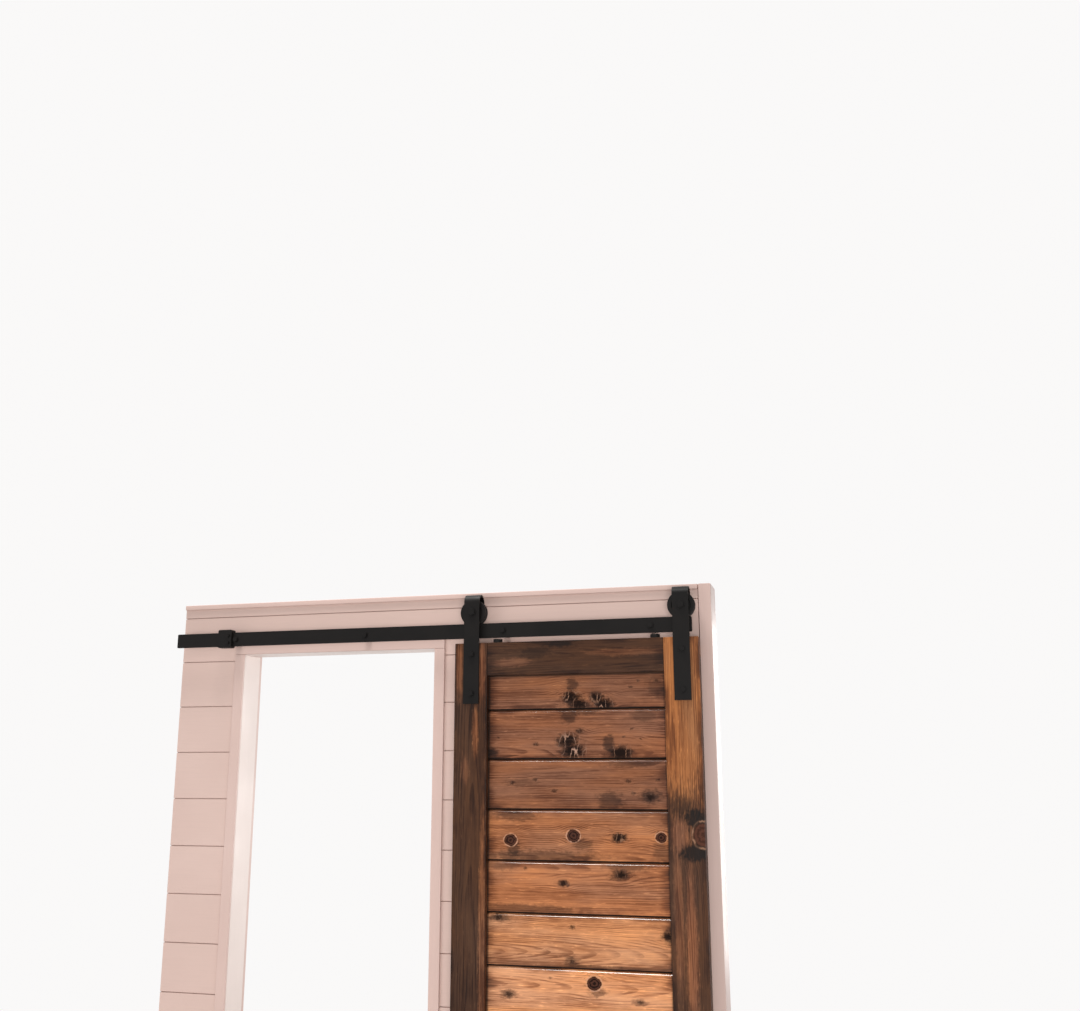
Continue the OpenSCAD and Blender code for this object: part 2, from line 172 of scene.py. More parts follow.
class Bench:
    """Lays out the nodes of one material or node group."""

    def __init__(self, tree: Tree) -> None:
        """Starts on an empty tree."""
        self.tree = tree

    def feed(self, entries: bpy.types.bpy_prop_collection, values: dict[int | str, object]) -> None:
        """Links sockets to others, or sets their values.

        Args:
            entries: The inputs of a node.
            values: What they take, by index or name: an output socket, a number or a tuple.
        """
        for key, value in values.items():
            if isinstance(value, Socket):
                self.tree.links.new(value, entries[key])
            else:
                entries[key].default_value = value

    def node(self, kind: str, entries: dict[int | str, object] | None = None, **settings: object) -> Node:
        """Adds a node.

        Args:
            kind: The node's type, without the word ShaderNode in front.
            entries: What its inputs take, by index or name.
            **settings: The node's own settings.

        Returns:
            The new node.
        """
        new = self.tree.nodes.new("ShaderNode" + kind)
        for name, value in settings.items():
            setattr(new, name, value)
        self.feed(new.inputs, entries or {})
        return new

    def place(self) -> Socket:
        """Returns the place on the object."""
        return self.node("TexCoord").outputs["Object"]

    def math(self, operation: str, *values: object) -> Socket:
        """Adds a Math node and returns its output."""
        return self.node("Math", dict(enumerate(values)), operation=operation).outputs[0]

    def plus(self, first: object, second: object) -> Socket:
        """Adds two values."""
        return self.math("ADD", first, second)

    def minus(self, first: object, second: object) -> Socket:
        """Takes the second value from the first."""
        return self.math("SUBTRACT", first, second)

    def times(self, first: object, second: object) -> Socket:
        """Multiplies two values."""
        return self.math("MULTIPLY", first, second)

    def most(self, first: object, second: object) -> Socket:
        """Returns the larger of two values."""
        return self.math("MAXIMUM", first, second)

    def vector(self, operation: str, *values: object) -> Socket:
        """Adds a Vector Math node and returns its vector."""
        return self.node("VectorMath", dict(enumerate(values)), operation=operation).outputs[0]

    def length(self, vector: Socket) -> Socket:
        """Returns a vector's length."""
        return self.node("VectorMath", {0: vector}, operation="LENGTH").outputs["Value"]

    def span(
        self, value: object, low: float, high: float, to_low: float = 0.0, to_high: float = 1.0
    ) -> Socket:
        """Maps a value smoothly from one span to another, and holds it at the ends."""
        entries = {0: value, 1: low, 2: high, 3: to_low, 4: to_high}
        return self.node("MapRange", entries, interpolation_type="SMOOTHSTEP").outputs[0]

    def noise(self, point: Socket, cells: Triple, detail: float = 2.0, shift: float = 0.0) -> Socket:
        """Adds a noise that is stretched along a direction.

        Args:
            point: Where to read it.
            cells: Its cells a metre along each axis.
            detail: Its octaves.
            shift: Moves the pattern, so that two boards differ.

        Returns:
            The noise, around 0.5.
        """
        moves = {"Vector": point, "Location": (shift, shift * 1.7, -shift), "Scale": cells}
        moved = self.node("Mapping", moves).outputs[0]
        entries = {"Vector": moved, "Scale": 1.0, "Detail": detail, "Roughness": 0.55}
        return self.node("TexNoise", entries).outputs[0]

    def around(self, noise: Socket, reach: float) -> Socket:
        """Returns a noise moved to lie around 0 and scaled to a reach."""
        return self.times(self.minus(noise, 0.5), reach)

    def bell(self, value: object, width: float = 1.0, middle: float = 0.0) -> Socket:
        """Returns a bell curve of a value, which is 1 at its middle and 1/e one width away."""
        far = self.math("DIVIDE", self.minus(value, middle), width)
        return self.math("POWER", math.e, self.times(self.math("POWER", far, 2.0), -1.0))

    def blend(self, amount: object, first: object, second: object, mode: str = "MIX") -> Socket:
        """Mixes two colours by an amount and returns the colour."""
        entries = {0: amount, 6: first, 7: second}
        return self.node("Mix", entries, data_type="RGBA", blend_type=mode).outputs[2]

    def ramp(self, value: object, stops: tuple[tuple[float, Colour], ...]) -> Socket:
        """Turns a value into a colour by stops from dark to light.

        Args:
            value: The value, from 0 to 1.
            stops: Where each colour stands, and the colour.

        Returns:
            The colour.
        """
        made = self.node("ValToRGB", {0: value})
        band = made.color_ramp
        while len(band.elements) < len(stops):
            band.elements.new(0.5)
        for element, (place, colour) in zip(band.elements, stops):
            element.position = place
            element.color = scaled(colour)
        return made.outputs[0]

    def bump(self, height: Socket, strength: float, distance: float) -> Socket:
        """Returns the normal of a face with a fine relief."""
        entries = {"Height": height, "Strength": strength, "Distance": distance}
        return self.node("Bump", entries).outputs[0]


def material(name: str) -> tuple[Material, Bench, Node]:
    """Makes an empty node material.

    Args:
        name: The material's name.

    Returns:
        The material, a bench on its tree and its shader.
    """
    made = bpy.data.materials.new(name)
    made.use_nodes = True
    return made, Bench(made.node_tree), made.node_tree.nodes["Principled BSDF"]


def knot_group() -> Tree:
    """Builds the group that adds one knot to a board's figure.

    Returns:
        A group that takes what the knots so far give and adds a knot to it: how the growth
        rings are pushed aside, what is dyed dark, what is heartwood and what is pale.
    """
    group = bpy.data.node_groups.new("pine_knot", "ShaderNodeTree")
    for name in ("Point", "Centre"):
        group.interface.new_socket(name, in_out="INPUT", socket_type="NodeSocketVector")
    for name in ("Radius", "Ringed", "Inner", *KNOT_SUMS):
        group.interface.new_socket(name, in_out="INPUT", socket_type="NodeSocketFloat")
    for name in KNOT_SUMS:
        group.interface.new_socket(name, in_out="OUTPUT", socket_type="NodeSocketFloat")
    bench = Bench(group)
    given = group.nodes.new("NodeGroupInput").outputs
    result = group.nodes.new("NodeGroupOutput").inputs
    ringed, inner = given["Ringed"], given["Inner"]

    # How far the point is from the knot, in radii, and what makes each knot uneven
    apart = bench.vector("SUBTRACT", given["Point"], given["Centre"])
    stretch = bench.node("CombineXYZ", {0: bench.span(ringed, 0.0, 1.0, 0.66, 0.88), 1: 1.0}).outputs[0]
    oval = bench.vector("MULTIPLY", apart, stretch)
    ratio = bench.math("DIVIDE", bench.length(oval), given["Radius"])
    own = bench.vector("MULTIPLY", given["Centre"], (61.0, 83.0, 0.0))
    aim = bench.vector("MULTIPLY", bench.vector("NORMALIZE", oval), (1.6, 1.6, 0.0))
    rays = bench.noise(bench.vector("ADD", aim, own), (1.0, 1.0, 1.0), 3.0)
    frayed = bench.noise(given["Point"], (150.0, 230.0, 1.0), 4.0, 3.0)

    # A black knot is a smudge with a frayed edge
    ragged = bench.plus(bench.around(frayed, 1.1), bench.around(rays, 0.7))
    smudge = bench.plus(bench.times(bench.bell(ratio, 1.25), 1.2), ragged)
    heavy = bench.span(given["Radius"], 0.003, 0.011, 0.65, 0.97)
    black = bench.times(bench.span(smudge, 0.22, 1.15), heavy)

    # A ringed knot has a dark rim, broken rings inside it and dark grain beyond it
    uneven = bench.plus(ratio, bench.plus(bench.around(rays, 0.32), bench.around(frayed, 0.10)))
    inside = bench.span(uneven, 1.04, 0.94)
    rim = bench.times(bench.bell(uneven, 0.10, 0.97), bench.span(rays, 0.62, 0.42, 0.5, 1.0))
    arcs = bench.plus(bench.times(uneven, 13.0), bench.around(frayed, 5.0))
    arcs = bench.span(bench.math("SINE", arcs), -0.4, 0.9, 0.35, 0.95)
    brown = bench.times(bench.most(rim, bench.times(inside, arcs)), inner)
    beyond = bench.times(bench.bell(ratio, 0.5, 1.35), bench.span(frayed, 0.48, 0.66, 0.0, 0.75))
    beyond = bench.times(beyond, bench.span(rays, 0.45, 0.6))
    dyed = bench.node("Mix", {0: ringed, 2: black, 3: bench.most(brown, beyond)}).outputs[0]

    # Pale cracks cross a black knot, and a pale arc goes round a ringed one
    cracks = bench.noise(bench.vector("ADD", given["Point"], own), (62.0, 20.0, 1.0), 0.5, 8.0)
    veins = bench.times(bench.bell(cracks, 0.020, 0.5), bench.bell(ratio, 0.9))
    veins = bench.times(veins, bench.span(given["Radius"], 0.007, 0.014, 0.15, 0.85))
    arc = bench.times(bench.bell(uneven, 0.08, 1.17), bench.span(rays, 0.42, 0.58, 0.25, 0.9))
    arc = bench.times(arc, bench.span(inner, 0.5, 1.0, 0.3, 1.0))
    pale = bench.node("Mix", {0: ringed, 2: veins, 3: arc}).outputs[0]

    # Near a knot the growth rings are pushed aside
    sideways = bench.node("SeparateXYZ", {0: apart}).outputs[1]
    pushed = bench.times(sideways, bench.bell(ratio, 2.1))
    bench.feed(result, {
        "Across": bench.minus(given["Across"], pushed),
        "Dark": bench.most(given["Dark"], dyed),
        "Core": bench.most(given["Core"], bench.times(inside, ringed)),
        "Light": bench.most(given["Light"], pale),
    })
    return group


class PineFinish(Bench):
    """Stained knotty pine of one board.

    The growth rings are circles round the heart of the tree, which lies behind the board and
    leans along it, so that they show as long lines and arches on the face.
    """

    ring = 0.0042
    inner = 0.2405
    # How far the painted shadow in the corner by the face frame reaches, and where it is full
    shadow_reach = 0.007
    shadow_full = 0.001

    def __init__(self, node: str, look: BoardLook, grain: Grain, seed: float) -> None:
        """Makes the material, and the places and noises that its parts share.

        Args:
            node: The board's solid.
            look: How the board looks.
            grain: The direction of its length.
            seed: Moves the noises, so that two boards differ.
        """
        self.made, bench, self.shader = material(node + "_pine")
        super().__init__(bench.tree)
        self.look, self.grain = look, grain
        low, high = corners(node)
        self.extent, self.centre = high - low, (low + high) / 2
        away = self.vector("SUBTRACT", self.place(), (self.centre.x, low.y, self.centre.z))
        x, y, z = self.node("SeparateXYZ", {0: away}).outputs
        self.along, self.across, self.behind = (x, z, y) if grain is Grain.ALONG_X else (z, x, y)
        places = dict(enumerate((self.along, self.across, self.behind)))
        self.point = self.node("CombineXYZ", places).outputs[0]
        self.torn, self.worn = self.shaken(0.010), self.shaken(0.003)
        self.noises = {}
        for layer in Layer:
            cells, detail, shift = layer.value
            self.noises[layer] = self.noise(self.point, cells, detail, seed + shift)

    def on_board(self, x: float, z: float) -> Triple:
        """Turns a place on the wall into a place on the board."""
        x, z = x - self.centre.x, z - self.centre.z
        return (x, z, 0.0) if self.grain is Grain.ALONG_X else (z, x, 0.0)

    def build(self, knot: Tree) -> Material:
        """Builds the material.

        Args:
            knot: The group that adds a knot.

        Returns:
            The finished material.
        """
        drift = self.around(self.noises[Layer.DRIFT], 0.020)
        ripple = self.around(self.noises[Layer.RIPPLE], 0.0022)
        sums = (self.plus(self.plus(self.across, drift), ripple), 0.0, 0.0, 0.0)
        for one in self.look.knots:
            ringed, inner = one.kind.value
            added = self.node("Group", node_tree=knot)
            self.feed(added.inputs, {
                "Point": self.torn if one.kind is KnotKind.BLACK else self.worn,
                "Centre": self.on_board(one.x, one.z), "Radius": one.radius,
                "Ringed": ringed, "Inner": inner, **dict(zip(KNOT_SUMS, sums)),
            })
            sums = tuple(added.outputs[name] for name in KNOT_SUMS)
        across, dark, core, light = sums
        late = self.late_wood(across)
        tone = self.tone(late)
        colour = self.patched(self.ramp(tone, self.tones(self.look.stain)), tone)
        if self.look.knots:
            for amount, spot in ((core, HEARTWOOD), (dark, KNOT_DYE), (light, PALE_WOOD)):
                colour = self.blend(amount, colour, spot)
        hue = self.blend(self.span(self.noises[Layer.HUE], 0.35, 0.65), WARM_CAST, COOL_CAST)
        colour = self.blend(1.0, colour, hue, "MULTIPLY")
        varnish_and_shade = self.node("Attribute", attribute_name="varnish_and_shade").outputs["Fac"]
        # Painted shade: the downward bevels in the V-grooves and the corner by the face frame are darkened
        # towards near black
        painted_shade = self.most(self.span(varnish_and_shade, -0.1, -0.9), self.painted_corner_shadow())
        relief = self.plus(self.times(late, -0.5), self.times(self.noises[Layer.FIBRE], 0.7))
        self.feed(self.shader.inputs, {
            "Base Color": self.blend(painted_shade, colour, PAINTED_GROOVE_SHADE),
            "Roughness": self.span(self.noises[Layer.CLOUD], 0.3, 0.7, 0.42, 0.56),
            "Normal": self.bump(relief, 0.25, 0.0005),
            "Specular IOR Level": self.span(dark, 0.2, 1.0, 0.14, 0.03),
            "Coat Weight": self.span(varnish_and_shade, 0.0, 1.0, 0.06, 1.0),
            "Coat Roughness": 0.18,
        })
        return self.made

    def tones(self, stain: Stain) -> tuple[tuple[float, Colour], ...]:
        """Gives the colours of one stain, from where it is darkest to where it is lightest."""
        red, green, blue = (c * self.look.lift for c in stain.value)
        return (
            (0.0, (red * 0.13, green * 0.12, blue * 0.14)), (0.30, (red * 0.50, green * 0.43, blue * 0.40)),
            (0.52, (red, green, blue)), (0.75, (red * 1.38, green * 1.42, blue * 1.36)),
            (1.0, (red * 1.75, green * 1.95, blue * 1.95)))

    def shaken(self, reach: float) -> Socket:
        """Shifts the place by a small noise, so that knots and stains have ragged edges.

        Args:
            reach: The size of the shift.

        Returns:
            The shifted place.
        """
        entries = {"Vector": self.point, "Scale": 120.0, "Detail": 3.0, "Roughness": 0.6}
        noise = self.node("TexNoise", entries).outputs["Color"]
        shift = self.vector("MULTIPLY", self.vector("SUBTRACT", noise, (0.5, 0.5, 0.5)), (reach, reach, 0.0))
        return self.vector("ADD", self.point, shift)

    def late_wood(self, across: Socket) -> Socket:
        """Gives where the dark late wood of the growth rings shows.

        Args:
            across: The place across the board, pushed aside by the knots.

        Returns:
            The amount, from 0 to 1.
        """
        heart = self.plus(self.times(self.along, self.look.lean), self.look.behind)
        sides = (self.minus(across, self.look.heart), self.minus(heart, self.behind))
        radius = self.math("SQRT", self.plus(*(self.math("POWER", side, 2.0) for side in sides)))
        turn = self.math("FRACT", self.plus(self.math("DIVIDE", radius, self.ring), 40.0))
        late = self.math("MINIMUM", self.span(turn, 0.35, 0.88), self.span(turn, 1.0, 0.93))
        return self.times(late, self.span(self.noises[Layer.FADED], 0.36, 0.66, 0.1, 1.0))

    def tone(self, late: Socket) -> Socket:
        """Gives how light the wood is.

        Args:
            late: Where the late wood shows.

        Returns:
            The tone, from 0 where it is darkest to 1 where it is lightest.
        """
        band, cloud = 0.50 * self.look.mottle, 0.55 * self.look.mottle
        reaches = {Layer.FIBRE: 0.75, Layer.BAND: band, Layer.CLOUD: cloud, Layer.FLECK: 0.25}
        tone = self.plus(0.53, self.times(late, -0.40 * self.look.figure))
        for layer, reach in reaches.items():
            tone = self.plus(tone, self.around(self.noises[layer], reach))
        tone = self.plus(tone, self.span(self.noises[Layer.FLECK], 0.60, 0.74, 0.0, 0.22))
        return self.minus(tone, self.edge_darkening())

    def patched(self, colour: Socket, tone: Socket) -> Socket:
        """Lays the patches over the board's colour.

        Args:
            colour: The colour without them.
            tone: How light the wood is.

        Returns:
            The colour with the patches.
        """
        cloud, fleck = self.noises[Layer.CLOUD], self.noises[Layer.FLECK]
        for patch in self.look.patches:
            if patch.stain is Stain.EBONY:
                uneven = self.around(self.noises[Layer.SMOKE], 1.3)
                dyed = self.blend(1.0, colour, SMOKE_CAST, "MULTIPLY")
            else:
                uneven = self.plus(self.around(cloud, 0.3), self.around(fleck, 0.6))
                dyed = self.ramp(tone, self.tones(patch.stain))
            half = (patch.half_x, patch.half_z)
            if self.grain is Grain.ALONG_Z:
                half = half[::-1]
            far = self.vector("SUBTRACT", self.torn, self.on_board(patch.x, patch.z))
            far = self.vector("MULTIPLY", far, (1 / half[0], 1 / half[1], 0.0))
            soft = self.plus(self.times(self.bell(self.length(far)), 1.1), uneven)
            amount = self.times(self.span(soft, 0.25, 0.95), patch.strength)
            colour = self.blend(amount, colour, dyed)
        return colour

    def edge_darkening(self) -> Socket:
        """Gives how much darker the board's tone is along its long edges and towards its ends.

        Returns:
            What to take off the board's tone.
        """
        half, end = self.extent.z / 2, self.inner
        if self.grain is Grain.ALONG_Z:
            half, end = self.extent.x / 2, self.extent.z / 2
        near = self.span(self.math("ABSOLUTE", self.across), half * 0.62, half)
        ends = self.span(self.math("ABSOLUTE", self.along), end - 0.035, end + 0.005)
        uneven = self.span(self.noises[Layer.CLOUD], 0.60, 0.40, 0.1, 1.0)
        return self.times(self.most(near, ends), self.times(uneven, 0.30))

    def painted_corner_shadow(self) -> object:
        """Gives where a painted shadow darkens a board: in the corner under the top rail and beside the
        stiles.

        Returns:
            The amount, from 0 to 0.85, or 0 on the frame itself.
        """
        if self.grain is Grain.ALONG_Z or not self.look.knots:
            return 0.0
        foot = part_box("top_rail")[0][2] - self.centre.z
        spots = ((self.math("ABSOLUTE", self.along), self.inner), (self.across, foot))
        return self.most(*(
            self.span(place, edge - self.shadow_reach, edge - self.shadow_full, 0.0, 0.85)
            for place, edge in spots))


@dataclass(frozen=True)
class PaintFinish:
    """Satin paint brushed on boards, with the wood's grain showing faintly through it."""

    name: str
    colour: Colour
    cells: Triple = (9.0, 260.0, 260.0)
    roughness: float = 0.42
    uneven: float = 0.06

    def build(self) -> Material:
        """Builds the material.

        Returns:
            The finished material.
        """
        made, bench, shader = material(self.name)
        place = bench.place()
        brush = bench.noise(place, self.cells, 3.0, 2.0)
        cloud = bench.noise(place, (3.0, 3.0, 3.0), 3.0, 5.0)
        fresh, dull, worn = (scaled(self.colour, factor) for factor in (1.0, 0.94, 0.92))
        colour = bench.blend(bench.span(cloud, 0.3, 0.7, 0.0, 0.5), fresh, dull)
        low, high = self.roughness - self.uneven, self.roughness + self.uneven
        bench.feed(shader.inputs, {
            "Base Color": bench.blend(bench.span(brush, 0.4, 0.75, 0.0, 0.35), colour, worn),
            "Roughness": bench.span(cloud, 0.3, 0.7, low, high),
            "Normal": bench.bump(brush, 0.22, 0.0005),
        })
        return made


@dataclass(frozen=True)
class SteelFinish:
    """Matt black powder coat on steel, with its fine texture."""

    name: str
    colour: Colour = (0.0052, 0.0043, 0.0040)
    roughness: float = 0.5

    def build(self) -> Material:
        """Builds the material.

        Returns:
            The finished material.
        """
        made, bench, shader = material(self.name)
        place = bench.place()
        skin = bench.noise(place, (900.0, 900.0, 900.0), 2.0, 1.0)
        cloud = bench.noise(place, (14.0, 14.0, 14.0), 4.0, 4.0)
        dark, light = scaled(self.colour, 0.85), scaled(self.colour, 1.35)
        bench.feed(shader.inputs, {
            "Base Color": bench.blend(bench.span(cloud, 0.35, 0.7), dark, light),
            "Roughness": bench.span(cloud, 0.3, 0.7, self.roughness - 0.05, self.roughness + 0.07),
            "Normal": bench.bump(skin, 0.25, 0.0002),
            "Specular IOR Level": 0.15,
        })
        return made


def weighted_normals(mesh: Mesh) -> list[Vector]:
    """Gives a normal for each face corner, led by the larger faces, so that flat faces stay flat.

    Args:
        mesh: The shape.

    Returns:
        The normals in the order of the faces and their corners.
    """
    mesh.normal_update()
    areas = {face: face.calc_area() for face in mesh.faces}
    normals = []
    for face in mesh.faces:
        for corner in face.loops:
            near = (f for f in corner.vert.link_faces if f.normal.angle(face.normal, 0.0) < CREASE_ANGLE)
            total = sum((other.normal * areas[other] for other in near), Vector())
            normals.append(total.normalized() if total.length > 0 else face.normal.copy())
    return normals


def finished(mesh: Mesh, name: str, body: str, finish: Material, nodes: tuple[str, ...]) -> None:
    """Turns a bmesh into a piece of the door.

    Args:
        mesh: The shape, which is freed.
        name: The piece's name.
        body: The body that it rides on.
        finish: Its material.
        nodes: The solids that it stands for.
    """
    for face in mesh.faces:
        face.smooth = True
    for edge in mesh.edges:
        edge.smooth = len(edge.link_faces) == 2 and edge.calc_face_angle(0.0) < CREASE_ANGLE
    normals = weighted_normals(mesh)
    data = bpy.data.meshes.new(name)
    mesh.to_mesh(data)
    mesh.free()
    data.normals_split_custom_set(normals)
    data.materials.append(finish)
    piece = bpy.data.objects.new(name, data)
    bpy.context.scene.collection.objects.link(piece)
    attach(piece, body)
    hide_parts(*nodes)
    log.info("%s: %d faces", name, len(data.polygons))


def corners(node: str) -> tuple[Vector, Vector]:
    """Gives the lowest and the highest corner of a solid's box."""
    low, high = (Vector(c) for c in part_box(node))
    return low, high


def solid(node: str) -> Mesh:
    """Copies a solid and merges its doubled corners.

    Args:
        node: The solid's name.

    Returns:
        The copy.
    """
    mesh = bmesh.new()
    mesh.from_mesh(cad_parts[node].data)
    bmesh.ops.remove_doubles(mesh, verts=mesh.verts, dist=MERGE_DISTANCE)
    return mesh


def eased(node: str, width: float, shortest: float = 0.004) -> Mesh:
    """Copies a solid and eases its long sharp edges.

    Args:
        node: The solid's name.
        width: Width of the bevel.
        shortest: Edges shorter than this aren't bevelled.

    Returns:
        The bevelled copy.
    """
    mesh = solid(node)
    bmesh.ops.dissolve_limit(mesh, angle_limit=FLAT_ANGLE, verts=mesh.verts, edges=mesh.edges)
    sharp = [
        edge for edge in mesh.edges
        if len(edge.link_faces) == 2 and edge.calc_face_angle(0.0) > SHARP_ANGLE
        and edge.calc_length() > shortest
    ]
    bmesh.ops.bevel(
        mesh, geom=sharp, offset=width, offset_type="OFFSET", segments=2, affect="EDGES",
        profile=0.5, material=-1, clamp_overlap=True)
    return mesh


def islands(node: str) -> list[tuple[Vector, Vector]]:
    """Finds the separate parts of a solid.

    Args:
        node: The solid's name.

    Returns:
        The lowest and the highest corner of each, from left to right and upwards.
    """
    mesh = solid(node)
    boxes = []
    seen = set()
    for first in mesh.verts:
        if first in seen:
            continue
        seen.add(first)
        group = [first]
        for vert in group:
            near = (edge.other_vert(vert) for edge in vert.link_edges)
            fresh = [other for other in near if other not in seen]
            seen.update(fresh)
            group.extend(fresh)
        columns = list(zip(*(vert.co for vert in group)))
        boxes.append((Vector(min(c) for c in columns), Vector(max(c) for c in columns)))
    mesh.free()
    return sorted(boxes, key=lambda box: (round(box[0].x, 4), round(box[0].z, 4)))


RINGED = KnotKind.RINGED

# The seen boards get lighter from the top downwards: partly their stain, and partly painted light standing in
# for light that falls brighter lower down
SEEN_BOARDS: dict[int, BoardLook] = {
    1: BoardLook(Stain.RUSSET),
    2: BoardLook(Stain.RUSSET, 0.05, 0.05, 0.03, 1.13, 0.5, (
        Knot(-0.01, 1.786, 0.016), Knot(0.01, 1.768, 0.014), Knot(0.058, 1.783, 0.012),
        Knot(0.076, 1.768, 0.015), Knot(0.148, 1.81, 0.004), Knot(0.168, 1.826, 0.003),
        Knot(0.218, 1.824, 0.004)), (
        Patch(-0.008, 1.82, 0.02, 0.022, 0.75), Patch(-0.016, 1.784, 0.024, 0.024),
        Patch(0.054, 1.784, 0.02, 0.022), Patch(0.078, 1.764, 0.03, 0.014),
        Patch(0.01, 1.762, 0.05, 0.014), Patch(0.215, 1.81, 0.03, 0.03, 0.5))),
    3: BoardLook(Stain.RUSSET, -0.05, 0.04, 0.05, 1.13, 0.6, (
        Knot(0.01, 1.698, 0.007), Knot(-0.02, 1.674, 0.018), Knot(-0.006, 1.647, 0.019),
        Knot(0.12, 1.641, 0.017), Knot(-0.11, 1.665, 0.005), Knot(-0.213, 1.682, 0.003),
        Knot(0.149, 1.702, 0.003), Knot(0.172, 1.676, 0.003), Knot(0.128, 1.682, 0.003)), (
        Patch(-0.028, 1.672, 0.032, 0.02), Patch(-0.01, 1.644, 0.034, 0.02),
        Patch(-0.018, 1.738, 0.026, 0.026, 0.75), Patch(0.03, 1.748, 0.04, 0.012, 0.6),
        Patch(0.088, 1.664, 0.018, 0.03), Patch(0.122, 1.64, 0.036, 0.018),
        Patch(0.18, 1.735, 0.04, 0.02, 0.5), Patch(-0.23, 1.64, 0.022, 0.022, 0.75))),
    4: BoardLook(Stain.RUSSET, 0.05, 0.05, 0.02, 1.0, 0.5, (
        Knot(-0.173, 1.565, 0.0045), Knot(-0.11, 1.573, 0.0045), Knot(-0.059, 1.545, 0.005),
        Knot(0.138, 1.57, 0.005), Knot(0.15, 1.54, 0.004), Knot(0.194, 1.531, 0.008),
        Knot(0.216, 1.573, 0.004)), (
        Patch(0.195, 1.532, 0.034, 0.022), Patch(0.09, 1.52, 0.04, 0.03, 0.65),
        Patch(0.145, 1.613, 0.08, 0.012, 0.5), Patch(-0.15, 1.565, 0.05, 0.012, 0.4))),
    5: BoardLook(Stain.AMBER, -0.055, 0.028, 0.03, 1.0, 0.62, (
        Knot(-0.178, 1.42, 0.014, RINGED), Knot(-0.009, 1.433, 0.0145, RINGED),
        Knot(0.112, 1.429, 0.011), Knot(0.219, 1.431, 0.012, RINGED)), (
        Patch(0.112, 1.429, 0.026, 0.014, 0.85), Patch(-0.1, 1.38, 0.2, 0.018, 0.65),
        Patch(-0.168, 1.396, 0.022, 0.022, 0.7), Patch(0.015, 1.412, 0.034, 0.014, 0.6),
        Patch(-0.16, 1.482, 0.07, 0.016, 0.6), Patch(0.222, 1.395, 0.03, 0.03, 0.5))),
    6: BoardLook(Stain.AMBER, 0.045, 0.04, 0.05, 1.12, 0.55, (
        Knot(-0.138, 1.351, 0.003), Knot(-0.036, 1.316, 0.008), Knot(0.115, 1.339, 0.01)), (
        Patch(0.112, 1.338, 0.036, 0.015), Patch(-0.036, 1.316, 0.02, 0.01),
        Patch(0.13, 1.358, 0.07, 0.012, 0.65), Patch(-0.15, 1.25, 0.18, 0.015, 0.6),
        Patch(-0.2, 1.355, 0.05, 0.012, 0.5))),
    7: BoardLook(Stain.HONEY, -0.03, 0.03, 0.07, 0.98, 0.55, (
        Knot(-0.21, 1.229, 0.008), Knot(-0.014, 1.211, 0.005), Knot(0.23, 1.196, 0.01),
        Knot(-0.015, 1.128, 0.004)), (
        Patch(-0.205, 1.228, 0.04, 0.01), Patch(0.234, 1.196, 0.018, 0.028),
        Patch(-0.015, 1.128, 0.022, 0.016, 0.7), Patch(-0.2, 1.135, 0.03, 0.024, 0.8, Stain.AMBER),
        Patch(0.05, 1.115, 0.16, 0.007, 0.6, Stain.UMBER))),
    8: BoardLook(Stain.HONEY, 0.02, 0.03, 0.05, 1.2, 0.6, (
        Knot(0.041, 1.079, 0.0155, RINGED), Knot(-0.072, 1.088, 0.003), Knot(-0.182, 1.045, 0.006),
        Knot(0.157, 1.04, 0.005)), (
        Patch(-0.182, 1.045, 0.028, 0.012, 0.75), Patch(0.052, 1.058, 0.028, 0.012, 0.6),
        Patch(0.157, 1.04, 0.024, 0.01, 0.6))),
}

FRAME_LOOKS: dict[str, tuple[Grain, BoardLook]] = {
    "stile_left": (Grain.ALONG_Z, BoardLook(Stain.UMBER, 0.005, 0.03, 0.02, 0.93, 0.75, (), (
        Patch(-0.272, 1.7, 0.01, 0.08, 0.6, Stain.AMBER),
        Patch(-0.255, 1.86, 0.012, 0.1, 0.7, Stain.RUSSET),
        Patch(-0.32, 1.87, 0.012, 0.09, 0.6, Stain.RUSSET),
        Patch(-0.249, 1.12, 0.011, 0.42, 0.5, Stain.AMBER),
        Patch(-0.3, 1.6, 0.014, 0.04, 0.35, Stain.RUSSET)), 0.9)),
    "stile_right": (Grain.ALONG_Z, BoardLook(Stain.UMBER, -0.03, 0.03, 0.01, 1.05, 0.55, (
        Knot(0.33, 1.44, 0.0255, KnotKind.RED),), (
        Patch(0.292, 1.85, 0.4, 0.36, 1.6, Stain.GOLD), Patch(0.27, 1.44, 0.03, 0.05, 0.6, Stain.RUSSET),
        Patch(0.262, 1.25, 0.014, 0.2, 0.5, Stain.RUSSET),
        Patch(0.292, 1.16, 0.016, 0.24, 0.8, Stain.RUSSET), Patch(0.312, 1.481, 0.038, 0.024, 1.2),
        Patch(0.306, 1.396, 0.044, 0.024, 1.2), Patch(0.275, 1.51, 0.04, 0.03, 0.6)), 0.6)),
    "top_rail": (Grain.ALONG_X, BoardLook(Stain.UMBER, 0.0, 0.05, 0.03, 0.86, 0.5, (), (
        Patch(-0.04, 1.927, 0.05, 0.012), Patch(-0.11, 1.905, 0.05, 0.02, 0.5),
        Patch(-0.17, 1.88, 0.06, 0.014, 0.6, Stain.RUSSET),
        Patch(0.14, 1.9, 0.12, 0.012, 0.5, Stain.RUSSET)), 0.9)),
    "bottom_rail": (Grain.ALONG_X, BoardLook(Stain.UMBER, 0.01, 0.04, 0.04)),
}


